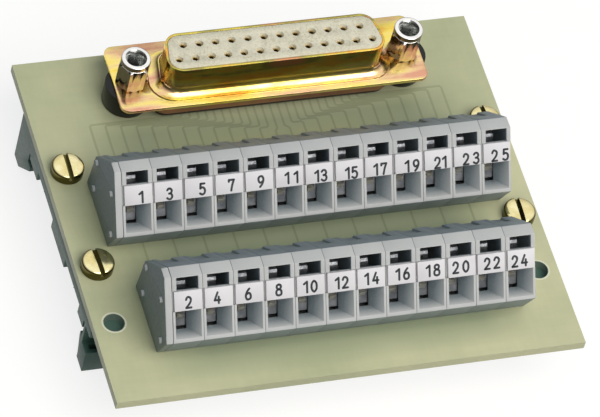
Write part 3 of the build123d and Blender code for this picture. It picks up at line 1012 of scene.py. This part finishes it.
# Pen strokes of each digit on a box one wide and one high: two points make a straight stroke,
# and more make a curve through them
digit_strokes = {
    "0": [[
        (0.5, 1), (0.1, 0.8), (0, 0.5), (0.1, 0.2), (0.5, 0),
        (0.9, 0.2), (1, 0.5), (0.9, 0.8), (0.5, 1),
    ]],
    "1": [[(0, 0.8), (1, 1)], [(1, 1), (1, 0)]],
    "2": [
        [(0.04, 0.76), (0.2, 0.95), (0.5, 1), (0.86, 0.88), (0.93, 0.66), (0.7, 0.4), (0.02, 0)],
        [(0.02, 0), (0.98, 0)],
    ],
    "3": [
        [(0.06, 0.86), (0.32, 0.99), (0.68, 0.98), (0.92, 0.78), (0.72, 0.57), (0.4, 0.53)],
        [(0.4, 0.53), (0.76, 0.5), (0.98, 0.27), (0.76, 0.04), (0.38, 0), (0.02, 0.12)],
    ],
    "4": [[(0.55, 1), (0, 0.28)], [(0, 0.28), (1, 0.28)], [(0.76, 0.58), (0.76, 0)]],
    "5": [
        [(0.9, 1), (0.16, 1)],
        [(0.16, 1), (0.1, 0.56)],
        [
            (0.1, 0.56), (0.48, 0.65), (0.84, 0.55), (0.98, 0.31),
            (0.82, 0.07), (0.42, -0.01), (0.02, 0.1),
        ],
    ],
    "6": [[
        (0.7, 1), (0.26, 0.72), (0.02, 0.33), (0.2, 0.05), (0.52, 0),
        (0.88, 0.09), (0.97, 0.33), (0.78, 0.56), (0.48, 0.59), (0.1, 0.46),
    ]],
    "7": [[(0, 0.84), (0, 1)], [(0, 1), (0.98, 1)], [(0.98, 1), (0.66, 0.56), (0.42, 0)]],
    "8": [
        [(0.5, 1), (0.16, 0.92), (0.12, 0.72), (0.5, 0.55), (0.88, 0.72), (0.84, 0.92), (0.5, 1)],
        [(0.5, 0.55), (0.06, 0.42), (0.06, 0.1), (0.5, 0), (0.94, 0.1), (0.94, 0.42), (0.5, 0.55)],
    ],
    "9": [[
        (0.3, 0), (0.74, 0.28), (0.98, 0.67), (0.8, 0.95), (0.48, 1),
        (0.12, 0.91), (0.03, 0.67), (0.22, 0.44), (0.52, 0.41), (0.9, 0.54),
    ]],
}
digit_width = 0.87
narrow_digits = {"1": 0.5}
digit_height = 1.76
stroke_width = 0.36
ink_lift = 0.01

# Printed numbers: left edge of each digit from the module's left seam, and gap below them
number_places = {
    1: ((2.5,), 0.12), 3: ((2.08,), 0.1), 5: ((2.5,), 0.3), 7: ((2.25,), 0.35),
    9: ((2.15,), 0.38), 11: ((1.63, 3.15), 0.4), 13: ((1.65, 2.71), 0.15),
    15: ((1.72, 2.78), 0.06), 17: ((1.55, 2.78), 0.08), 19: ((1.8, 3.18), 0.04),
    21: ((1.76, 3.1), 0.04), 23: ((1.63, 3.39), 0.05), 25: ((1.49, 3.39), 0.08),
    2: ((1.93,), 0.28), 4: ((1.63,), 0.48), 6: ((1.67,), 0.42), 8: ((1.67,), 0.5),
    10: ((1.2, 2.44), 0.38), 12: ((1.37, 2.54), 0.4), 14: ((1.3, 2.64), 0.5),
    16: ((1.42, 2.7), 0.58), 18: ((1.55, 2.84), 0.55), 20: ((0.87, 2.6), 0.55),
    22: ((1.22, 2.84), 0.58), 24: ((0.81, 2.44), 0.35),
}


def spline(before, start, end, after, t):
    """Value between start and end, on a smooth curve that heads for its neighbours."""
    slope = end - before
    bend = 2 * before - 5 * start + 4 * end - after
    twist = 3 * start - before - 3 * end + after
    return 0.5 * (2 * start + slope * t + bend * t * t + twist * t ** 3)


def curve_points(points):
    """Smooth line through the points of a pen stroke."""
    closed = points[0] == points[-1]
    before = points[-2] if closed else points[0]
    after = points[1] if closed else points[-1]
    padded = [before] + points + [after]
    result = []
    for quad in zip(padded, padded[1:], padded[2:], padded[3:]):
        for step in range(stroke_steps):
            result.append(tuple(spline(*values, step / stroke_steps) for values in zip(*quad)))
    result.append(points[-1])
    return result


def tag_frame(row, pole, shift, tilt):
    """Places (across, down, out) of one tag: out is measured from the housing's face."""
    left = row_left[row] + pole * pitch
    start = Vector((left, row_rear[row] + crest_offset, board_top + crest_height))
    middle_across = pitch / 2
    middle_down = tag_start + tag_height / 2

    def place(across, down, out):
        turned_across = across + shift[0] - tilt * (down - middle_down)
        turned_down = down + shift[1] + tilt * (across - middle_across)
        spot = start + Vector((turned_across, 0, 0)) + down_face * turned_down - into_face * out
        return spot * MM

    return place


def add_tag(mesh, place, proud):
    """Flat tag in its seat."""
    left = (pitch - tag_width) / 2
    corners = []
    for out in (-tag_seat_depth, proud):
        for down in (tag_start + tag_play, tag_start + tag_height - tag_play):
            for across in (left, left + tag_width):
                corners.append(mesh.verts.new(place(across, down, out)))
    faces = ((0, 1, 3, 2), (4, 6, 7, 5), (0, 4, 5, 1), (2, 3, 7, 6), (0, 2, 6, 4), (1, 5, 7, 3))
    for face in faces:
        mesh.faces.new([corners[index] for index in face])


def add_number(mesh, number, place, proud):
    """Printed strokes of a number on its tag."""
    lefts, gap = number_places[number]
    base = tag_start + tag_height - tag_play - gap - stroke_width / 2
    for digit, left in zip(str(number), lefts):
        width = narrow_digits.get(digit, digit_width)
        start = left + stroke_width / 2

        def on_tag(x, y, layer, start=start):
            return place(start + x, base - y, proud + layer * ink_lift)

        for points in digit_strokes[digit]:
            line = curve_points(points) if len(points) > 2 else points
            scaled = [(x * width, y * digit_height) for x, y in line]
            add_band(mesh, scaled, stroke_width, on_tag, round_ends=True)


def make_tags():
    """Marking tags, each seated a little unevenly, and their numbers."""
    for row, poles in row_poles.items():
        tags, numbers = bmesh.new(), bmesh.new()
        for pole in range(poles):
            shift = [random.uniform(-reach, reach) for reach in tag_shifts]
            place = tag_frame(row, pole, shift, random.uniform(-tag_tilt, tag_tilt))
            proud = tag_proud + random.uniform(-tag_sink, tag_lift)
            add_tag(tags, place, proud)
            add_number(numbers, 2 * pole + row, place, proud)
        bmesh.ops.recalc_face_normals(tags, faces=tags.faces)
        node = f"marking_tags_row_{row}"
        add_piece(f"{node}.finish", smooth(bevelled(tags, tag_edge)), "tag", [node])
        new_object(f"numbers_row_{row}", numbers, "ink")


def seen_directly(tree):
    """1 for rays from the camera, a mirror or glass, 0 for the light on surfaces."""
    rays = tree.nodes.new("ShaderNodeLightPath").outputs
    mirrored = math_node(tree, "MAXIMUM", rays["Is Camera Ray"], rays["Is Glossy Ray"])
    return math_node(tree, "MAXIMUM", mirrored, rays["Is Transmission Ray"])


def sky_for_mirrors(tree):
    """White overhead and a dark room lower down for mirrors, and plain white for the camera."""
    ray = tree.nodes.new("ShaderNodeTexCoord").outputs["Generated"]
    height = along_node(tree, ray, sky_direction)
    sky = ramp_node(tree, height, [(sky_edge_dark, room_grey), (sky_edge_white, white)])
    from_camera = tree.nodes.new("ShaderNodeLightPath").outputs["Is Camera Ray"]
    return mix_node(tree, from_camera, sky, white)


def add_lamp(name, place, target, size, level, colour):
    """Soft square lamp that gives this share of the plain light level at the object."""
    data = bpy.data.lights.new(name, "AREA")
    data.shape = "SQUARE"
    data.size = size
    aim = target - place
    data.energy = level * math.pi ** 2 * aim.length ** 2
    data.color = colour
    lamp = add_object(name, data)
    lamp.location = place
    lamp.rotation_euler = aim.to_track_quat("-Z", "Y").to_euler()


def light_scene():
    """Faint bluish surroundings and one broad lamp from the front right, above."""
    world = bpy.data.worlds.new("studio")
    bpy.context.scene.world = world
    world.use_nodes = True
    tree = world.node_tree
    tree.nodes.clear()
    shown = tree.nodes.new("ShaderNodeBackground")
    tree.links.new(sky_for_mirrors(tree), shown.inputs["Color"])
    light = tree.nodes.new("ShaderNodeBackground")
    light.inputs["Color"].default_value = (*surround_colour, 1)
    light.inputs["Strength"].default_value = surround_level
    mix = tree.nodes.new("ShaderNodeMixShader")
    tree.links.new(seen_directly(tree), mix.inputs["Fac"])
    tree.links.new(light.outputs["Background"], mix.inputs[1])
    tree.links.new(shown.outputs["Background"], mix.inputs[2])
    output = tree.nodes.new("ShaderNodeOutputWorld")
    tree.links.new(mix.outputs["Shader"], output.inputs["Surface"])
    aim = Vector((0, 0, board_top)) * MM
    place = aim + Vector(key_direction).normalized() * key_distance * MM
    add_lamp("key", place, aim, key_size * MM, key_level, key_colour)


def make_floor():
    """White floor that keeps the object's shadow pale."""
    data = bpy.data.meshes.new("floor")
    reach = floor_reach * MM
    corners = [(-reach, -reach, 0), (reach, -reach, 0), (reach, reach, 0), (-reach, reach, 0)]
    data.from_pydata(corners, [], [(0, 1, 2, 3)])
    floor = add_object("floor", data)
    floor.location = (0, 0, -floor_drop * MM)
    material = bpy.data.materials.new("floor_white")
    material.use_nodes = True
    tree = material.node_tree
    tree.nodes.clear()
    diffuse = tree.nodes.new("ShaderNodeBsdfDiffuse")
    diffuse.inputs["Color"].default_value = (*floor_colour, 1)
    glow = tree.nodes.new("ShaderNodeEmission")
    glow.inputs["Color"].default_value = (*white, 1)
    glow_level = math_node(tree, "MULTIPLY", seen_directly(tree), floor_glow)
    tree.links.new(glow_level, glow.inputs["Strength"])
    both = tree.nodes.new("ShaderNodeAddShader")
    tree.links.new(diffuse.outputs["BSDF"], both.inputs[0])
    tree.links.new(glow.outputs["Emission"], both.inputs[1])
    output = tree.nodes.new("ShaderNodeOutputMaterial")
    tree.links.new(both.outputs["Shader"], output.inputs["Surface"])
    data.materials.append(material)


bpy.context.scene.view_settings.view_transform = "Standard"
aim_camera()
light_scene()
make_floor()
dress_nodes()
make_tracks()
make_hole_edges()
make_jackscrews()
make_shell_fillet()
make_foot_screws()
make_tags()
